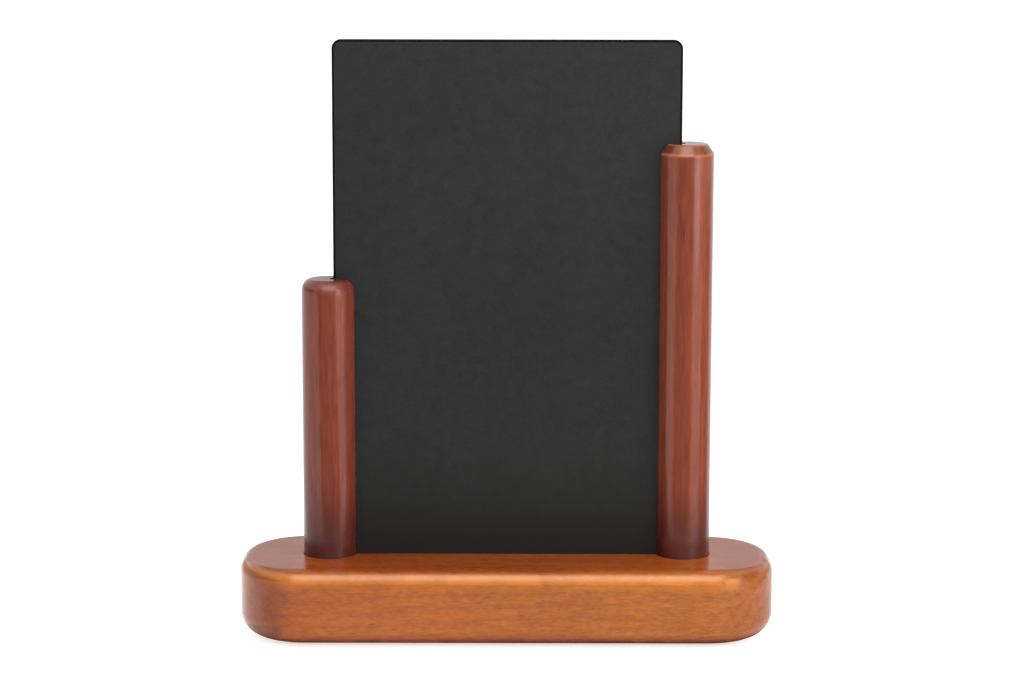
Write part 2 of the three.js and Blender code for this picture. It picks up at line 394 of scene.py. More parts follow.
class Graph:
    """Adds linked nodes to the tree of a material, a group or a world."""

    # The sockets that a mix of colours uses, among those of the other kinds of mix.
    mix_inputs = (0, 6, 7)
    mix_output = 2

    def __init__(self, tree):
        self.tree = tree

    def node(self, kind, inputs=None, **settings):
        made = self.tree.nodes.new(kind)
        for name, value in settings.items():
            setattr(made, name, value)
        self.fill(made, inputs or {})
        return made

    def fill(self, node, inputs):
        for name, value in inputs.items():
            self.feed(node.inputs[name], value)

    def feed(self, socket, value):
        """Links another node's socket, or sets a value."""
        if isinstance(value, bpy.types.NodeSocket):
            self.tree.links.new(value, socket)
        elif socket.type == "RGBA" and len(value) == 3:
            socket.default_value = (*value, 1)
        else:
            socket.default_value = value

    def math(self, operation, *values):
        made = self.node("ShaderNodeMath", operation=operation)
        for socket, value in zip(made.inputs, values):
            self.feed(socket, value)
        return made.outputs["Value"]

    def stretch(self, vector, factors):
        inputs = {0: vector, 1: factors}
        return self.node("ShaderNodeVectorMath", inputs, operation="MULTIPLY").outputs["Vector"]

    def axes(self, vector):
        return self.node("ShaderNodeSeparateXYZ", {0: vector}).outputs

    def place(self):
        """The object's own coordinates, in metres. In a world, the direction."""
        return self.node("ShaderNodeTexCoord").outputs["Object"]

    def millimetres(self):
        return self.stretch(self.place(), (1 / MM, 1 / MM, 1 / MM))

    def attribute(self, name):
        """An amount painted on the piece, or 0 where the piece has none."""
        return self.node("ShaderNodeAttribute", attribute_name=name).outputs["Fac"]

    def ramp(self, value, low, high, to_low=0.0, to_high=1.0):
        """Goes smoothly from one value to the other while the input goes from low to high."""
        inputs = {"Value": value, "From Min": low, "From Max": high, "To Min": to_low, "To Max": to_high}
        return self.node("ShaderNodeMapRange", inputs, interpolation_type="SMOOTHSTEP").outputs["Result"]

    def noise(self, vector, scale, detail=2.0, roughness=0.5):
        inputs = {"Vector": vector, "Scale": scale, "Detail": detail, "Roughness": roughness}
        return self.node("ShaderNodeTexNoise", inputs).outputs["Fac"]

    def clouds(self, vector, scale, detail, within=(0.3, 0.7), to_low=0.0, to_high=1.0, roughness=0.5):
        """Noise whose values within two bounds are spread from one value to the other."""
        return self.ramp(self.noise(vector, scale, detail, roughness), *within, to_low, to_high)

    def spots(self, vector, scale, size, picked, strength=1.0, channel=0):
        """Small soft spots in the cells whose random number is picked, fully or in part."""
        cells = self.node("ShaderNodeTexVoronoi", {"Vector": vector, "Scale": scale}).outputs
        number = self.node("ShaderNodeSeparateColor", {0: cells["Color"]}).outputs[channel]
        spot = self.ramp(cells["Distance"], *size, strength, 0.0)
        return self.math("MULTIPLY", spot, self.ramp(number, *picked))

    def mix(self, factor, first, second, blend="MIX"):
        made = self.node("ShaderNodeMix", data_type="RGBA", blend_type=blend)
        self.fill(made, dict(zip(self.mix_inputs, (factor, first, second))))
        return made.outputs[self.mix_output]

    def bump(self, height, strength, distance):
        inputs = {"Height": height, "Strength": strength, "Distance": distance}
        return self.node("ShaderNodeBump", inputs).outputs["Normal"]

    def group(self, name, build, inputs):
        """A shared group, built the first time that a material asks for it."""
        tree = bpy.data.node_groups.get(name) or build(name)
        return self.node("ShaderNodeGroup", inputs, node_tree=tree).outputs


def new_group(name, inputs, outputs):
    """An empty shader group with the named sockets, its graph and its input and output sockets."""
    tree = bpy.data.node_groups.new(name, "ShaderNodeTree")
    for in_out, sockets in (("INPUT", inputs), ("OUTPUT", outputs)):
        for socket, kind in sockets.items():
            tree.interface.new_socket(socket, in_out=in_out, socket_type=f"NodeSocket{kind}")
    graph = Graph(tree)
    return tree, graph, graph.node("NodeGroupInput").outputs, graph.node("NodeGroupOutput").inputs


def new_material(name):
    """An empty material, its graph and its shader."""
    material = bpy.data.materials.new(name)
    material.use_nodes = True
    return material, Graph(material.node_tree), material.node_tree.nodes["Principled BSDF"]


# Wood and lacquer, in millimetres


# Layers of streaks: how fine they are along the grain, their scale and detail, and their share.
GRAIN_LAYERS = (
    (0.06, 0.85, 4.0, 0.30),
    (0.42, 0.50, 3.0, 0.30),
    (0.30, 1.30, 3.0, 0.50),
    (0.28, 0.055, 2.0, 0.34),
)
# The rings' sway and the taper of their radius, along the grain as shares of those across it.
SWAY_ALONG = 0.2
TAPER_ALONG = 0.12
RING_SWAY = 12.0
RING_CONTRAST = 0.16
RING_SHARPNESS = 1.4
RING_MEAN = 0.45
PORE_STRENGTH = 0.6
GRAIN_HEIGHT = 0.3

# Heights on the lacquer's skin, in hundredths of a millimetre.
WAVE_HEIGHT = 6.0
PEEL_HEIGHT = 0.28
NIB_HEIGHT = 0.35
WOOD_HEIGHT = 0.06
LACQUER_BUMP = 0.35
LACQUER_IOR = 1.42
# Roughness that is added where a piece is painted as fully dull.
DULLNESS = 0.35

# Distances from the middle between which the painted shade on the top's two ends sets in.
END_SHADE = (74.0, 86.0)


def growth_rings(graph, position, pith, ring):
    """Rings round the pith, from pale to dark and back, which sway along the grain."""
    swaying = graph.noise(graph.stretch(position, (SWAY_ALONG, 1, 1)), scale=0.06)
    sway = graph.math("SUBTRACT", swaying, 0.5)
    offset = graph.node("ShaderNodeVectorMath", {0: position, 1: pith}, operation="SUBTRACT")
    radial = graph.stretch(offset.outputs["Vector"], (TAPER_ALONG, 1, 1))
    radius = graph.node("ShaderNodeVectorMath", {0: radial}, operation="LENGTH").outputs["Value"]
    turns = graph.math("DIVIDE", graph.math("MULTIPLY_ADD", sway, RING_SWAY, radius), ring)
    darkness = graph.math("MULTIPLY", graph.math("PINGPONG", turns, 0.5), 2.0)
    return graph.math("POWER", darkness, RING_SHARPNESS)


def hardwood_group(name):
    """Stained close-grained hardwood, with its grain along X."""
    shape = {"Position": "Vector", "Pith": "Vector", "Ring": "Float"}
    stain = {"Pale": "Color", "Deep": "Color", "Pore": "Color"}
    outputs = {"Color": "Color", "Height": "Float"}
    tree, graph, given, out = new_group(name, {**shape, **stain}, outputs)
    position = given["Position"]
    rings = growth_rings(graph, position, given["Pith"], given["Ring"])
    tone = graph.math("MULTIPLY_ADD", graph.math("SUBTRACT", rings, RING_MEAN), RING_CONTRAST, 0.5)
    for along, scale, detail, share in GRAIN_LAYERS:
        streaks = graph.stretch(position, (along, 1, 1))
        layer = graph.clouds(streaks, scale, detail, within=(0.28, 0.72), roughness=0.6)
        tone = graph.math("MULTIPLY_ADD", graph.math("SUBTRACT", layer, 0.5), share, tone)

    along_grain = graph.stretch(position, (0.16, 1, 1))
    pores = graph.spots(along_grain, scale=0.8, size=(0.08, 0.24), picked=(0.45, 1.0))
    across_grain = graph.stretch(position, (1.5, 1, 1))
    knots = graph.spots(across_grain, scale=0.06, size=(0.012, 0.034), picked=(0.5, 0.7), channel=1)
    marks = graph.math("MAXIMUM", graph.math("MULTIPLY", pores, PORE_STRENGTH), knots)

    wood = graph.mix(tone, given["Pale"], given["Deep"])
    graph.feed(out["Color"], graph.mix(marks, wood, given["Pore"]))
    graph.feed(out["Height"], graph.math("SUBTRACT", graph.math("MULTIPLY", tone, GRAIN_HEIGHT), pores))
    return tree


def lacquer_group(name):
    """The skin of a sprayed clear lacquer: slow waves, a fine peel, and a few dust nibs."""
    tree, graph, given, out = new_group(
        name,
        {"Position": "Vector", "Smooth": "Float", "Dull": "Float"},
        {"Height": "Float", "Roughness": "Float"},
    )
    position = given["Position"]
    waves = graph.math("MULTIPLY", graph.noise(position, scale=0.07, detail=1.0), WAVE_HEIGHT)
    peel = graph.math("MULTIPLY", graph.noise(position, scale=0.75, detail=1.0), PEEL_HEIGHT)
    nibs = graph.spots(position, scale=0.16, size=(0.02, 0.07), picked=(0.7, 0.75), strength=NIB_HEIGHT)
    graph.feed(out["Height"], graph.math("ADD", graph.math("ADD", waves, peel), nibs))
    sprayed = graph.clouds(position, scale=0.09, detail=3.0, to_low=given["Smooth"], to_high=given["Dull"])
    dulled = graph.math("MULTIPLY_ADD", graph.attribute("end_rough"), DULLNESS, sprayed)
    graph.feed(out["Roughness"], dulled)
    return tree


def wear_group(name):
    """Where handling has rubbed the finish, and on the base a painted highlight, from the piece's own
    attribute.
    """
    tree, graph, given, out = new_group(name, {"Position": "Vector"}, {"Mask": "Float"})
    patch = graph.clouds(given["Position"], scale=0.12, detail=3.0, within=(0.25, 0.7), to_low=0.55)
    graph.feed(out["Mask"], graph.math("MULTIPLY", graph.attribute("edge_wear_and_glint"), patch))
    return tree


def soak_and_shade_group(name):
    """Where the colour is darker: stain soaked into end grain and painted shade, from the piece's own
    attribute, and painted shade between two heights.
    """
    tree, graph, given, out = new_group(
        name,
        {"Position": "Vector", "Low": "Float", "High": "Float", "Depth": "Float"},
        {"Mask": "Float"},
    )
    position = given["Position"]
    stain_and_shade = graph.math("SUBTRACT", 1.0, graph.attribute("unshaded_underside"))
    depth = graph.math("MULTIPLY", given["Depth"], stain_and_shade)
    # Painted shade, darkest at the lower height and gone at the upper one, left off the flat underside.
    foot_shade_mask = graph.ramp(graph.axes(position)["Z"], given["Low"], given["High"], depth, 0.0)
    soaked_and_shaded = graph.math("MAXIMUM", graph.attribute("end_grain_and_shade"), foot_shade_mask)
    patch = graph.clouds(position, scale=0.15, detail=3.0, to_low=0.75)
    graph.feed(out["Mask"], graph.math("MULTIPLY", soaked_and_shaded, patch))
    return tree


def lacquered_wood(name, settings, turn, pith, ring, fineness, foot_shade, tints, shade_tints, roughness, wear_share):
    """Stained wood under clear lacquer, with its grain turned to run along the piece, and with painted
    light and shade in its colour.
    """
    low, high, depth = foot_shade
    left, right, reach = tints
    second, end_shade_tint, end_shade_share = shade_tints
    smoothest, dullest = roughness
    material, graph, shader = new_material(name)
    place = graph.millimetres()
    turned = graph.node("ShaderNodeMapping", {"Vector": place, "Rotation": turn}).outputs["Vector"]
    grain = {"Position": graph.stretch(turned, fineness), "Pith": pith, "Ring": ring}
    stain = {"Pale": settings.pale, "Deep": settings.deep, "Pore": settings.pore}
    wood = graph.group("Stained hardwood", hardwood_group, {**grain, **stain})
    # On the base the tints run from end to end as a painted shade that darkens the left; on the posts they
    # tell one post from the other.
    to_right = graph.axes(place)["X"]
    tint = graph.mix(graph.ramp(to_right, -reach, reach), left, right)
    tinted = graph.mix(1.0, wood["Color"], tint, "MULTIPLY")
    # Painted shade: a darker tint where the piece's attribute says, and on the base more so at the top's
    # two ends.
    shaded = graph.mix(1.0, tinted, second, "MULTIPLY")
    at_ends = graph.ramp(graph.math("ABSOLUTE", to_right), *END_SHADE, 0.0, end_shade_share)
    shade_painted = graph.mix(graph.attribute("painted_shade_tint"), tinted, graph.mix(at_ends, shaded, end_shade_tint))
    # Darker where stain soaked into end grain, and painted shade on the ends and towards the foot.
    heights = {"Position": place, "Low": low, "High": high, "Depth": depth}
    soak_and_shade = graph.group("Soaked stain", soak_and_shade_group, heights)
    stain_and_shade = graph.mix(soak_and_shade["Mask"], shade_painted, settings.soaked_and_shaded)
    wear = graph.group("Rubbed edges", wear_group, {"Position": place})
    rubbed = graph.math("MULTIPLY", wear["Mask"], wear_share)
    spray = {"Position": place, "Smooth": smoothest, "Dull": dullest}
    lacquer = graph.group("Clear lacquer", lacquer_group, spray)
    height = graph.math("MULTIPLY_ADD", wood["Height"], WOOD_HEIGHT, lacquer["Height"])
    graph.fill(
        shader,
        {
            "Base Color": graph.mix(rubbed, stain_and_shade, settings.worn),
            "Roughness": lacquer["Roughness"],
            "IOR": LACQUER_IOR,
            "Normal": graph.bump(height, strength=LACQUER_BUMP, distance=0.01 * MM),
        },
    )
    return material


# Paint and felt, in millimetres

# Heights between which chalk dust sets in, which leaves the board darker towards the base as a painted
# shade, and between which the painted shade at the foot ends.
DUST_AND_SHADE_FROM = (28.0, 75.0)
PAINTED_SHADE_FOOT = (25.0, 66.0)
PAINTED_SHADE_SHARE = 0.75


def chalkboard_paint(settings):
    """Matt black board paint with wiped chalk, specks and a fine grit, and painted shade towards the base.
    """
    material, graph, shader = new_material("chalkboard_paint")
    place = graph.millimetres()
    height = graph.axes(place)["Z"]
    upright = graph.stretch(place, (1, 1, 0.6))
    wiped = graph.clouds(
        upright, scale=0.022, detail=4.0, within=(0.35, 0.75), to_high=0.12, roughness=0.6
    )
    mottle = graph.clouds(place, scale=0.26, detail=4.0, to_high=0.18, roughness=0.65)
    grain = graph.clouds(place, scale=1.2, detail=2.0, to_high=0.18)
    specks = graph.spots(place, scale=0.22, size=(0.03, 0.10), picked=(0.6, 0.9), strength=0.7)
    chalk = graph.math("ADD", graph.math("ADD", graph.math("ADD", wiped, mottle), grain), specks)
    # Chalk dust, thinning out towards the base, which is part of the painted shade there.
    dust = graph.math("MULTIPLY", chalk, graph.ramp(height, *DUST_AND_SHADE_FROM))
    # Painted shade: the paint darkens towards the base.
    face_with_shade = graph.mix(graph.ramp(height, *PAINTED_SHADE_FOOT, PAINTED_SHADE_SHARE, 0.0), settings.face, settings.edge)
    grit = graph.noise(place, scale=3.2, detail=3.0, roughness=0.6)
    graph.fill(
        shader,
        {
            "Base Color": graph.mix(dust, face_with_shade, settings.dust),
            "Roughness": graph.clouds(place, scale=0.06, detail=3.0, to_low=0.56, to_high=0.68),
            "Specular IOR Level": 0.22,
            "Normal": graph.bump(grit, strength=0.5, distance=0.03 * MM),
        },
    )
    return material


def edge_paint(settings):
    """Thicker, blacker paint on the panel's rounded edges, rubbed and chipped here and there."""
    material, graph, shader = new_material("panel_edge_paint")
    place = graph.millimetres()
    rub = graph.clouds(place, scale=0.5, detail=4.0, within=(0.5, 0.8), to_high=0.25, roughness=0.65)
    chips = graph.clouds(place, scale=0.45, detail=3.0, within=(0.69, 0.73), roughness=0.6)
    graph.fill(
        shader,
        {
            "Base Color": graph.mix(chips, graph.mix(rub, settings.edge, settings.face), settings.chip),
            "Roughness": graph.clouds(place, scale=0.3, detail=2.0, to_low=0.6, to_high=0.75),
            "Specular IOR Level": 0.06,
        },
    )
    return material


def felt_cloth(settings):
    """Pressed felt: matted fibres with no weave."""
    material, graph, shader = new_material("pressed_felt")
    place = graph.millimetres()
    strands = graph.noise(graph.stretch(place, (1, 1, 0.4)), scale=4.0, detail=6.0, roughness=0.75)
    tufts = graph.clouds(place, scale=1.1, detail=3.0, within=(0.25, 0.7), to_low=0.4)
    pale = graph.math("MULTIPLY", graph.ramp(strands, 0.4, 0.75), tufts)
    graph.fill(
        shader,
        {
            "Base Color": graph.mix(pale, settings.felt, settings.fibre),
            "Roughness": 0.95,
            "Sheen Weight": 0.3,
            "Normal": graph.bump(strands, strength=0.8, distance=0.12 * MM),
        },
    )
    return material


# Pieces


class MENUHOLDER_OT_add_base(bpy.types.Operator):
    """Model the base block, with the posts' sockets and the panel's groove"""

    bl_idname = "menu_holder.add_base"
    bl_label = "Base"
    bl_options = {"REGISTER", "UNDO"}

    corner_segments = 24
    round_segments = 12
    socket_sides = 96

    # How much darker the ends are, from stain soaked into the end grain and from painted shade, most on the
    # left end and low down on it; and how much the upper round is worn or spared.
    left_soak_and_shade = 0.36
    left_shade_below = 0.5
    right_soak = 0.22
    right_soak_outside = 0.3
    right_shade_above = 0.45
    side_wear = 0.45
    left_spared = 0.85
    right_spared = 0.95
    # How strong the painted highlight at the right front corner is.
    glint_share = 0.9

    # Bounds over which these set in, or fade out where the first is larger, as parts of a normal.
    underside = (0.9, 0.99)
    top_face = (0.76, 0.92)
    end_face = (0.14, 0.42)
    below_top = (0.6, 0.15)
    lower_half = (0, 0.6)
    outer_end = (0.65, 0.97)
    right_end = (0.12, 0.5)
    upper_half = (0.15, 0.5)
    left_sparing = (0.25, 0.65)
    right_sparing = (0.02, 0.34)
    glint_left = (0.18, 0.28)
    glint_right = (0.5, 0.36)
    glint_front = (0, 0.3)
    # The same in degrees up the round.
    glint_top = (40, 20)
    round_foot = (-2, 10)
    round_top = (58, 42)

    def execute(self, context):
        size = context.scene.menu_holder_base
        low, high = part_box("base")
        block = add_block("lacquered_base", low, high)
        round_edges(block, alike(X, Y), size.corner_radius, self.corner_segments)
        round_edges(block, level_at(high.z), size.top_round, self.round_segments)
        round_edges(block, level_at(low.z), size.bottom_round, self.round_segments)
        add_ring(block, high.z - size.top_round - size.wear_fade)
        self.cut_seats(block, high.z, size, context.scene.menu_holder_posts.slot_width)
        smooth(block, size.groove_arris)
        paint(block, "edge_wear_and_glint", lambda vertex: self.wear(vertex, high.z, size.top_round))
        # The ends are darker: stain soaked into the end grain, and painted shade.
        paint(block, "end_grain_and_shade", lambda vertex: self.soak_and_shade(vertex.normal))
        # The painted shade at the lower edge leaves out the flat underside.
        paint(block, "unshaded_underside", lambda vertex: ease(-vertex.normal.z, *self.underside))
        # Painted shade: the top face takes a darker, redder tint.
        paint(block, "painted_shade_tint", lambda vertex: ease(vertex.normal.z, *self.top_face))
        wood = lacquered_wood(
            "base_lacquer",
            size,
            turn=(0, 0, math.radians(4)),
            pith=(30, 34, -58),
            ring=4.2,
            fineness=(1, 1, 1),
            # Painted shade towards the lower edge.
            foot_shade=(low.z / MM, (low.z + size.shade_height) / MM, 1.0),
            tints=(size.left_shade_tint, size.right_tint, high.x / MM),
            shade_tints=(size.top_shade, size.end_shade, 0.7),
            roughness=(0.14, 0.22),
            wear_share=0.75,
        )
        deliver(block, STAND_BODY, "base_wood", "base", wood)
        return {"FINISHED"}

    def cut_seats(self, block, top, size, slot_width):
        """Cuts the posts' sockets, and between their axes the panel's groove."""
        axes = []
        for node in ("short_post", "tall_post"):
            low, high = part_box(node)
            axis = (low + high) / 2
            axes.append(axis.x)
            radius = (high.x - low.x) / 2 + size.socket_clearance
            foot = Vector((axis.x, axis.y, top - size.socket_depth))
            cut(block, add_rod("socket", foot, radius, size.socket_depth + OVERCUT, self.socket_sides))
        half = slot_width / 2
        floor = Vector((axes[0], -half, top - size.groove_depth))
        cut(block, add_block("groove", floor, Vector((axes[1], half, top + OVERCUT))))

    def soak_and_shade(self, normal):
        """How much darker the two ends are: end grain took up more stain, and painted shade darkens the
        left end, most low down, and the right end's upper round.
        """
        end = ease(abs(normal.x), *self.end_face) * ease(normal.z, *self.below_top)
        if normal.x < 0:
            return end * (self.left_soak_and_shade + self.left_shade_below * ease(-normal.z, *self.lower_half))
        side = self.right_soak + self.right_soak_outside * ease(normal.x, *self.outer_end)
        above = ease(normal.x, *self.right_end) * ease(normal.z, *self.upper_half)
        return end * side + self.right_shade_above * above

    def wear(self, vertex, top, radius):
        """Wear of the upper round: fullest at half height, none on the top, and less at the two ends, with
        a painted highlight at the right front corner.
        """
        rise = vertex.co.z - top + radius
        if rise < -TOLERANCE:
            return 0
        angle = math.degrees(math.asin(min(max(rise / radius, 0), 1)))
        along_front = self.side_wear + (1 - self.side_wear) * ease(angle, *self.round_foot)
        left = self.left_spared * ease(-vertex.normal.x, *self.left_sparing)
        right = self.right_spared * ease(vertex.normal.x, *self.right_sparing)
        rubbed = along_front * (1 - left - right)
        # The wear, or the painted highlight on the right front corner where that is the stronger.
        return ease(angle, *self.round_top) * max(rubbed, self.corner_glint(vertex.normal, angle))

    def corner_glint(self, normal, angle):
        """A painted highlight: a paler spot low on the round of the right front corner, where the key light
        glints.
        """
        across = ease(normal.x, *self.glint_left) * ease(normal.x, *self.glint_right)
        in_front = ease(-normal.y, *self.glint_front)
        return self.glint_share * across * in_front * ease(angle, *self.glint_top)


class PostFinish(NamedTuple):
    """What differs between the posts. A lit stripe, a band of painted light, has a middle and a half width,
    in degrees from the front.
    """

    node: str
    inward: int
    chamfered: bool
    soak_and_shade: tuple
    slope_dullness: float
    front_pale: float
    lit_stripes: tuple


POST_FINISHES = (
    PostFinish(
        node="short_post",
        inward=1,
        chamfered=False,
        soak_and_shade=(0.45, 0.45),
        slope_dullness=0.7,
        front_pale=0,
        lit_stripes=((27, 25),),
    ),
    PostFinish(
        node="tall_post",
        inward=-1,
        chamfered=True,
        soak_and_shade=(0.1, 0.95),
        slope_dullness=0.05,
        front_pale=0.45,
        lit_stripes=((27, 25), (-34, 18)),
    ),
)


class MENUHOLDER_OT_add_posts(bpy.types.Operator):
    """Model the short and the tall post, each slotted towards the other"""

    bl_idname = "menu_holder.add_posts"
    bl_label = "Posts"
    bl_options = {"REGISTER", "UNDO"}

    sides = 112
    round_steps = 10
    arris_segments = 4
    dull_steps = 4
    # The share of the wear's reach that has points of its own on the chamfer.
    chamfer_share = 0.7
    foot_dullness = 0.5
    # How much less dull a flat top is than a slope.
    flat_share = 0.6
    # The share of a lit stripe's half width over which the painted shade round it is gone.
    stripe_core = 0.3
    pale_middle = -11

    # Bounds over which these set in, or fade out where the first is larger, in degrees from the front.
    side_turn = (20, 45)
    pale_turn = (38, 3)
    # The same as parts of a normal.
    slope_rise = (0, 0.65)
    flat_rise = (0.8, 0.97)
    chamfer_foot = (0.3, 0.5)
    chamfer_top = (0.9, 0.65)

    def execute(self, context):
        size = context.scene.menu_holder_posts
        base_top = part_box("base")[1].z
        groove_floor = base_top - context.scene.menu_holder_base.groove_depth
        wood = lacquered_wood(
            "post_lacquer",
            size,
            turn=(0, math.pi / 2, 0),
            pith=(-90, 26, 41),
            ring=3.4,
            fineness=(0.30, 0.75, 0.75),
            # Painted shade towards the foot of each post.
            foot_shade=(base_top / MM, (base_top + size.shade_height) / MM, 0.85),
            tints=(size.short_tint, size.tall_tint, 1.0),
            shade_tints=(size.painted_shade, size.painted_shade, 0.0),
            roughness=(0.10, 0.16),
            wear_share=0.9,
        )
        for finish in POST_FINISHES:
            post, arrises = self.model_post(finish, size, base_top, groove_floor)
            paint(post, "edge_wear_and_glint", lambda vertex: self.wear(vertex, arrises, size.wear_reach, finish))
            # Darker end grain, and on the tall post painted shade towards the chamfer's sides.
            paint(post, "end_grain_and_shade", lambda vertex: self.soak_and_shade(vertex.normal, finish))
            # Painted light and shade: darker all round, but for lighter upright stripes.
            paint(post, "painted_shade_tint", lambda vertex: self.density(vertex.normal, finish))
            paint(post, "end_rough", lambda vertex: self.dullness(vertex, base_top, size, finish))
            deliver(post, STAND_BODY, "post_wood", finish.node, wood)
        return {"FINISHED"}

    def model_post(self, finish, size, base_top, groove_floor):
        """One slotted post, and its chamfer's edges as circles with a middle, a radius and a height."""
        low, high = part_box(finish.node)
        axis = (low + high) / 2
        radius = (high.x - low.x) / 2
        if finish.chamfered:
            steps = self.top_steps(size.tall_chamfer_width, size.tall_chamfer_height, 1)
        else:
            steps = self.top_steps(size.short_round_width, size.short_round_height, self.round_steps)
        shoulder = high.z - sum(rise for _, rise in steps)
        foot = Vector((axis.x, axis.y, low.z))
        post = add_rod(f"lacquered_{finish.node}", foot, radius, shoulder - low.z, self.sides)
        round_edges(post, level_at(low.z), size.foot_chamfer, segments=1)
        with editing(post):
            select_end(post, upward=1)
            for inset, rise in steps:
                bpy.ops.mesh.inset(thickness=inset, depth=rise)
        dull_step = size.dull_height / self.dull_steps
        rings = [base_top + step * dull_step for step in range(self.dull_steps + 1)]
        rings.append(shoulder - size.wear_reach)
        arrises = []
        if finish.chamfered:
            arrises = [(axis.xy, radius, shoulder), (axis.xy, radius - size.tall_chamfer_width, high.z)]
            round_edges(post, level_above(shoulder), size.chamfer_arris, self.arris_segments)
            reach = self.chamfer_share * size.wear_reach
            rings += [shoulder + reach, high.z - reach]
        for height in rings:
            add_ring(post, height)
        self.cut_slot(post, axis, radius, high.z, groove_floor, finish.inward, size)
        smooth(post, size.slot_arris)
        return post, arrises

    def cut_slot(self, post, axis, radius, top, floor, inward, size):
        """Cuts the slot for the panel, open at the post's inner side and at its top."""
        end = axis.x + inward * (radius - size.slot_depth)
        mouth = axis.x + inward * (radius + OVERCUT)
        half = size.slot_width / 2
        low = Vector((min(end, mouth), axis.y - half, floor))
        cut(post, add_block("slot", low, Vector((max(end, mouth), axis.y + half, top + OVERCUT))))

    def top_steps(self, width, height, count):
        """Steps inwards and upwards along a quarter of an ellipse. One step makes a chamfer."""
        angles = [step / count * math.pi / 2 for step in range(count + 1)]
        return [
            (width * (math.cos(a) - math.cos(b)), height * (math.sin(b) - math.sin(a)))
            for a, b in zip(angles, angles[1:])
        ]

    def turn(self, normal):
        """How far a normal is turned from the front to the right, in degrees."""
        return math.degrees(math.atan2(normal.x, -normal.y))

    def soak_and_shade(self, normal, finish):
        """How much darker the end grain is: it took up more stain, and on the tall post a painted shade
        darkens its chamfer towards the sides.
        """
        front, sides = finish.soak_and_shade
        aside = ease(abs(self.turn(normal)), *self.side_turn)
        return abs(normal.z) * (front + (sides - front) * aside)

    def density(self, normal, finish):
        """Painted light and shade: the post is tinted darker all round but for its lighter stripes."""
        turn = self.turn(normal)
        stripes = finish.lit_stripes
        return min(ease(abs(turn - middle), self.stripe_core * half, half) for middle, half in stripes)

    def dullness(self, vertex, base_top, size, finish):
        """How dull the lacquer is: on hand-sanded slopes, less on flat tops, and at the foot."""
        upward = abs(vertex.normal.z)
        slope = ease(upward, *self.slope_rise) * (1 - self.flat_share * ease(upward, *self.flat_rise))
        foot = ease(vertex.co.z, base_top + size.dull_height, base_top)
        return max(finish.slope_dullness * slope, self.foot_dullness * foot)

    def wear(self, vertex, arrises, reach, finish):
        """Wear along the chamfer's edges, and a paler patch in the middle of its front."""
        slope = ease(vertex.normal.z, *self.chamfer_foot) * ease(vertex.normal.z, *self.chamfer_top)
        off_middle = abs(self.turn(vertex.normal) - self.pale_middle)
        worn = finish.front_pale * slope * ease(off_middle, *self.pale_turn)
        for centre, radius, height in arrises:
            away = math.hypot((vertex.co.xy - centre).length - radius, vertex.co.z - height)
            worn = max(worn, 1 - away / reach)
        return worn


class MENUHOLDER_OT_add_writing_panel(bpy.types.Operator):
    """Model the writing panel, with its rounded corners and painted edges"""

    bl_idname = "menu_holder.add_writing_panel"
    bl_label = "Writing panel"
    bl_options = {"REGISTER", "UNDO"}

    corner_segments = 12
    edge_segments = 5
    # The part of a normal along Y from which a face is one of the two flat ones.
    flat_turn = 0.999

    def execute(self, context):
        size = context.scene.menu_holder_panel
        low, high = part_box("writing_panel")
        board = add_block("writing_board", low, high)
        round_edges(board, alike(X, Z), size.corner_radius, self.corner_segments)
        round_edges(board, alike(Y), size.edge_round, self.edge_segments)
        smooth(board)
        deliver(board, PANEL_BODY, "chalkboard", "writing_panel", chalkboard_paint(size), edge_paint(size))
        for face in board.data.polygons:
            face.material_index = 0 if abs(face.normal.y) > self.flat_turn else 1
        return {"FINISHED"}


class MENUHOLDER_OT_add_felt_pads(bpy.types.Operator):
    """Model one felt pad and copy it to each corner of the underside"""

    bl_idname = "menu_holder.add_felt_pads"
    bl_label = "Felt pads"
    bl_options = {"REGISTER", "UNDO"}

    sides = 48
    edge_segments = 3
    pressed = 1.0

    def execute(self, context):
        size = context.scene.menu_holder_pads
        felt = felt_cloth(size)
        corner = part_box(PAD_NODES[0])[0]
        pads = [self.model_pad(*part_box(PAD_NODES[0]), size)]
        for node in PAD_NODES[1:]:
            activate(pads[0])
            bpy.ops.object.duplicate()
            bpy.ops.transform.translate(value=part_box(node)[0] - corner)
            settle()
            pads.append(bpy.context.object)
        for pad, node in zip(pads, PAD_NODES):
            pad.name = pad.data.name = node.replace("felt_pad", "felt_disc")
            deliver(pad, STAND_BODY, "felt", node, felt)
        return {"FINISHED"}

    def model_pad(self, low, high, size):
        """One disc, its lower edge softened and its underside pressed in a little by the load."""
        middle = (low + high) / 2
        foot = Vector((middle.x, middle.y, low.z))
        pad = add_rod("felt_disc", foot, (high.x - low.x) / 2, high.z - low.z, self.sides)
        round_edges(pad, level_at(low.z), size.edge_round, self.edge_segments)
        with editing(pad):
            select_end(pad, upward=-1)
            bpy.ops.mesh.inset(thickness=size.press_margin, depth=0)
            bpy.ops.mesh.inset(thickness=size.press_slope, depth=-size.press_depth)
        smooth(pad)
        return pad


# Studio, in metres


FACING_SIDEWAYS = (0, math.pi / 2, 0)
FACING_FORWARD = (math.pi / 2, 0, 0)
FACING_LEFT_FORWARD = (math.pi / 2, 0, math.pi / 4)

# The brightness of each of these is in the setting of the same name.
# Openings of the tent: their turn to the left, near distance and sides, far distance and sides, wall.
OPENINGS = {
    "front_opening": (0, 0.125, (-0.11, 0.16), 1.6, (-1.6, 0.7), 0.05),
    "right_opening": (-math.pi / 2, 0.18, (-0.05, 0.05), 1.3, (-0.5, 0.62), 0.01),
    "key_patch": (-0.82, 0.135, (-0.03, 0.065), 1.3, (-0.2, 0.2), 0.3),
    "left_sheet": (math.pi / 2, 0.105, (-0.08, 0.03), 0.22, (-0.2, 0.04), 0.001),
}
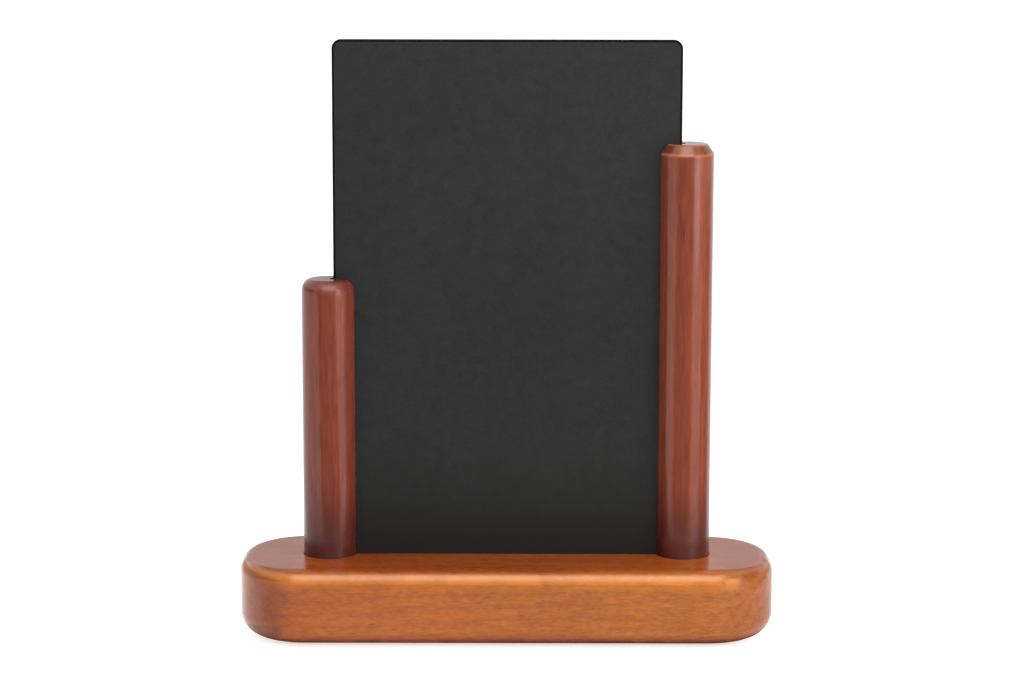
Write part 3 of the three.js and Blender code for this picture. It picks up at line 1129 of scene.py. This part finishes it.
# Cards: their place, turn, width and height.
CARDS = {
    "left_glow": ((-1.0, 0.5, 1.02), FACING_SIDEWAYS, 1.15, 3.0),
    "back_left_glow": ((-0.68, 2.0, 1.15), FACING_FORWARD, 0.7, 0.9),
    "back_right_glow": ((0.68, 2.0, 1.15), FACING_FORWARD, 0.7, 0.9),
    "right_glow": ((1.0, 1.15, 0.9), FACING_SIDEWAYS, 1.2, 1.7),
    "key_face": ((0.707, -0.707, 0.37), FACING_LEFT_FORWARD, 0.42, 0.72),
}
# Lights: their place, width and height.
SOFTBOXES = {
    "key": ((0.54, -0.36, 0.22), 0.40, 0.36),
    "ceiling": ((0, -0.6, 1.06), 1.25, 0.95),
}


def facing(place, target):
    """The turn of a light or card that looks from its place to a target."""
    return (Vector(target) - Vector(place)).to_track_quat("-Z", "Y").to_euler()


class MENUHOLDER_OT_add_studio(bpy.types.Operator):
    """Set up the floor, the white tent, the lights and the camera"""

    bl_idname = "menu_holder.add_studio"
    bl_label = "Studio"
    bl_options = {"REGISTER", "UNDO"}

    floor_size = 120
    floor_roughness = 0.9
    # Distances from the base's core over which the floor's painted shadow, and its mirror image, fade out.
    shade_fade = (5 * MM, 20.5 * MM)
    mirrored_fade = (18.5 * MM, 28.5 * MM)
    opening_lift = 0.5 * MM
    under_base_lift = 0.3 * MM
    under_base_size = (0.30, 0.16)

    # Parts of a direction over which the tent's cloth goes from one brightness to the next.
    tent_sides = (-0.3, 0.3)
    wall_top = (0.25, 0.5)
    roof_edge = (0.6, 0.85)

    ceiling_place = (0, -0.69, 0.91)
    ceiling_target = (0, 0, 0.03)
    ceiling_size = (1.5, 2.9)
    # Distances from the ceiling lamp's middle over which it fades.
    lamp_sides = (0.3, 0.7)
    lamp_top = (0.0, 0.85)
    lamp_foot = (-1.05, 0.0)
    softbox_target = (0, 0, 0.08)

    sensor_width = 36
    clip_start = 0.01
    clip_end = 200

    def execute(self, context):
        studio = context.scene.menu_holder_studio
        self.add_floor(studio)
        self.add_tent(context.scene, studio)
        for name, opening in OPENINGS.items():
            self.add_opening(name, getattr(studio, name), *opening)
        self.add_dark_underside(studio)
        self.add_ceiling_glow(studio)
        for name, card in CARDS.items():
            self.add_card(name, getattr(studio, name), *card)
        for name, softbox in SOFTBOXES.items():
            self.add_softbox(f"{name}_softbox", getattr(studio, name), *softbox)
        self.add_camera(context.scene, studio)
        context.scene.view_settings.view_transform = "Standard"
        return {"FINISHED"}

    def add_floor(self, studio):
        """A sheet that glows like a light table, with its glow turned down round the base as a painted
        shadow.
        """
        floor = add_sheet("lit_floor", (0, 0, CAD_BOX[0].z), size=self.floor_size)
        material, graph, shader = new_material("backlit_sheet")
        glow = (studio.painted_shadow_glow, studio.backdrop_glow)
        graph.fill(
            shader,
            {
                "Base Color": studio.floor,
                "Emission Color": graph.ramp(self.outside_core(graph), *self.shade_fade, *glow),
                "Emission Strength": 1,
                "Roughness": self.floor_roughness,
                "Specular IOR Level": 0,
            },
        )
        floor.data.materials.append(material)

    def outside_core(self, graph):
        """How far a point of the floor is from the base's core, the block between its corners' centres."""
        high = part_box("base")[1]
        corner = bpy.context.scene.menu_holder_base.corner_radius
        along = graph.axes(graph.place())
        squares = []
        for name, half in (("X", high.x - corner), ("Y", high.y - corner)):
            beyond = graph.math("SUBTRACT", graph.math("ABSOLUTE", along[name]), half)
            squares.append(graph.math("POWER", graph.math("MAXIMUM", beyond, 0.0), 2.0))
        return graph.math("SQRT", graph.math("ADD", *squares))

    def add_tent(self, scene, studio):
        """White cloth all round: bright behind, darker in front and above, bright again overhead."""
        world = scene.world or bpy.data.worlds.new("white_tent")
        scene.world = world
        world.use_nodes = True
        graph = Graph(world.node_tree)
        towards = graph.axes(graph.place())
        wall = graph.ramp(towards["Y"], *self.tent_sides, studio.tent_front, studio.tent_back)
        slope = graph.ramp(towards["Z"], *self.wall_top, wall, studio.tent_slope)
        strength = graph.ramp(towards["Z"], *self.roof_edge, slope, studio.tent_roof)
        graph.fill(world.node_tree.nodes["Background"], {"Color": (1, 1, 1), "Strength": strength})

    def add_opening(self, name, radiance, turn, near, near_sides, far, far_sides, wall):
        """The floor and wall that gloss sees through an opening of the tent."""
        sheet = add_sheet(name, (0, -(near + far) / 2, CAD_BOX[0].z + self.opening_lift))
        sheet.scale = (1, far - near, 1)
        settle()
        with editing(sheet):
            for distance, (left, right) in ((near, near_sides), (far, far_sides)):
                select_edges(sheet, lambda a, b: abs((a.y + b.y) / 2 + distance) < TOLERANCE)
                bpy.ops.transform.resize(value=(right - left, 1, 1), center_override=(0, 0, 0))
                bpy.ops.transform.translate(value=((left + right) / 2, 0, 0))
            bpy.ops.mesh.extrude_region_move(TRANSFORM_OT_translate={"value": (0, 0, wall)})
            bpy.ops.mesh.select_all(action="SELECT")
            bpy.ops.transform.rotate(value=turn, orient_axis="Z", center_override=(0, 0, 0))
        self.show_to_gloss_only(sheet, radiance)

    def add_dark_underside(self, studio):
        """The shaded floor under the base, which gloss sees along the base's lower edge."""

        def glow(graph):
            beyond = self.outside_core(graph)
            return graph.ramp(beyond, *self.mirrored_fade, studio.under_base, studio.round_base)

        place = (0, 0, CAD_BOX[0].z + self.under_base_lift)
        self.add_card("under_base", glow, place, (0, 0, 0), *self.under_base_size)

    def add_ceiling_glow(self, studio):
        """A lamp behind the tent's cloth: gloss sees it brightest in the middle, fading outwards."""

        def glow(graph):
            along = graph.axes(graph.place())
            across = graph.ramp(graph.math("ABSOLUTE", along["X"]), *self.lamp_sides, 1.0, 0.0)
            above = graph.ramp(along["Y"], *self.lamp_top, 1.0, 0.0)
            below = graph.ramp(along["Y"], *self.lamp_foot)
            lamp = graph.math("MULTIPLY", across, graph.math("MULTIPLY", above, below))
            return graph.ramp(lamp, 0.0, 1.0, studio.ceiling_rim, studio.ceiling_glow)

        turn = facing(self.ceiling_place, self.ceiling_target)
        self.add_card("ceiling_glow", glow, self.ceiling_place, turn, *self.ceiling_size)

    def add_card(self, name, glow, place, turn, width, height):
        """A flat card that only gloss sees."""
        sheet = add_sheet(name, place, turn)
        sheet.scale = (width, height, 1)
        bpy.ops.object.transform_apply(location=False, rotation=False, scale=True)
        self.show_to_gloss_only(sheet, glow)

    def show_to_gloss_only(self, sheet, glow):
        """Makes a sheet glow for gloss alone, with one radiance or with what a function builds."""
        material, graph, shader = new_material(sheet.name)
        graph.fill(
            shader,
            {
                "Base Color": (0, 0, 0),
                "Specular IOR Level": 0,
                "Emission Color": glow(graph) if callable(glow) else (glow, glow, glow),
                "Emission Strength": 1,
            },
        )
        sheet.data.materials.append(material)
        sheet.visible_camera = False
        sheet.visible_diffuse = False
        sheet.visible_shadow = False

    def add_softbox(self, name, radiance, place, width, height):
        """A light that gloss doesn't see, with the power that gives its face the radiance."""
        turn = facing(place, self.softbox_target)
        bpy.ops.object.light_add(type="AREA", location=place, rotation=turn)
        light = bpy.context.object
        light.name = name
        light.data.shape = "RECTANGLE"
        light.data.size = width
        light.data.size_y = height
        light.data.energy = radiance * math.pi * width * height
        light.visible_camera = False
        light.visible_glossy = False

    def add_camera(self, scene, studio):
        """The camera as it was fitted to the photograph, rolled about its own line of sight."""
        place = (studio.camera_side, -studio.camera_distance, studio.camera_height)
        level = Euler((math.pi / 2 - studio.camera_tilt, 0, 0)).to_matrix()
        turn = (level @ Euler((0, 0, studio.camera_roll)).to_matrix()).to_euler()
        bpy.ops.object.camera_add(location=place, rotation=turn)
        camera = bpy.context.object
        camera.name = "photo_camera"
        camera.data.lens = studio.camera_lens
        camera.data.sensor_width = self.sensor_width
        camera.data.shift_y = studio.camera_shift
        camera.data.clip_start = self.clip_start
        camera.data.clip_end = self.clip_end
        scene.camera = camera


class MENUHOLDER_PT_sidebar(bpy.types.Panel):
    """The holder's pieces and sizes"""

    bl_idname = "MENUHOLDER_PT_sidebar"
    bl_label = "Menu holder"
    bl_space_type = "VIEW_3D"
    bl_region_type = "UI"
    bl_category = "Menu holder"

    def draw(self, context):
        for operator, settings_name, _ in STEPS:
            box = self.layout.box()
            box.operator(operator.bl_idname)
            settings = getattr(context.scene, settings_name)
            for name in settings.__annotations__:
                box.prop(settings, name)


STEPS = (
    (MENUHOLDER_OT_add_base, "menu_holder_base", BaseSettings),
    (MENUHOLDER_OT_add_posts, "menu_holder_posts", PostSettings),
    (MENUHOLDER_OT_add_writing_panel, "menu_holder_panel", PanelSettings),
    (MENUHOLDER_OT_add_felt_pads, "menu_holder_pads", PadSettings),
    (MENUHOLDER_OT_add_studio, "menu_holder_studio", StudioSettings),
)


def register():
    for operator, name, settings in STEPS:
        bpy.utils.register_class(settings)
        setattr(bpy.types.Scene, name, PointerProperty(type=settings))
        bpy.utils.register_class(operator)
    bpy.utils.register_class(MENUHOLDER_PT_sidebar)


def unregister():
    bpy.utils.unregister_class(MENUHOLDER_PT_sidebar)
    for operator, name, settings in reversed(STEPS):
        bpy.utils.unregister_class(operator)
        delattr(bpy.types.Scene, name)
        bpy.utils.unregister_class(settings)


def main():
    register()
    bpy.ops.menu_holder.add_base()
    bpy.ops.menu_holder.add_posts()
    bpy.ops.menu_holder.add_writing_panel()
    bpy.ops.menu_holder.add_felt_pads()
    bpy.ops.menu_holder.add_studio()


if __name__ == "__main__":
    main()
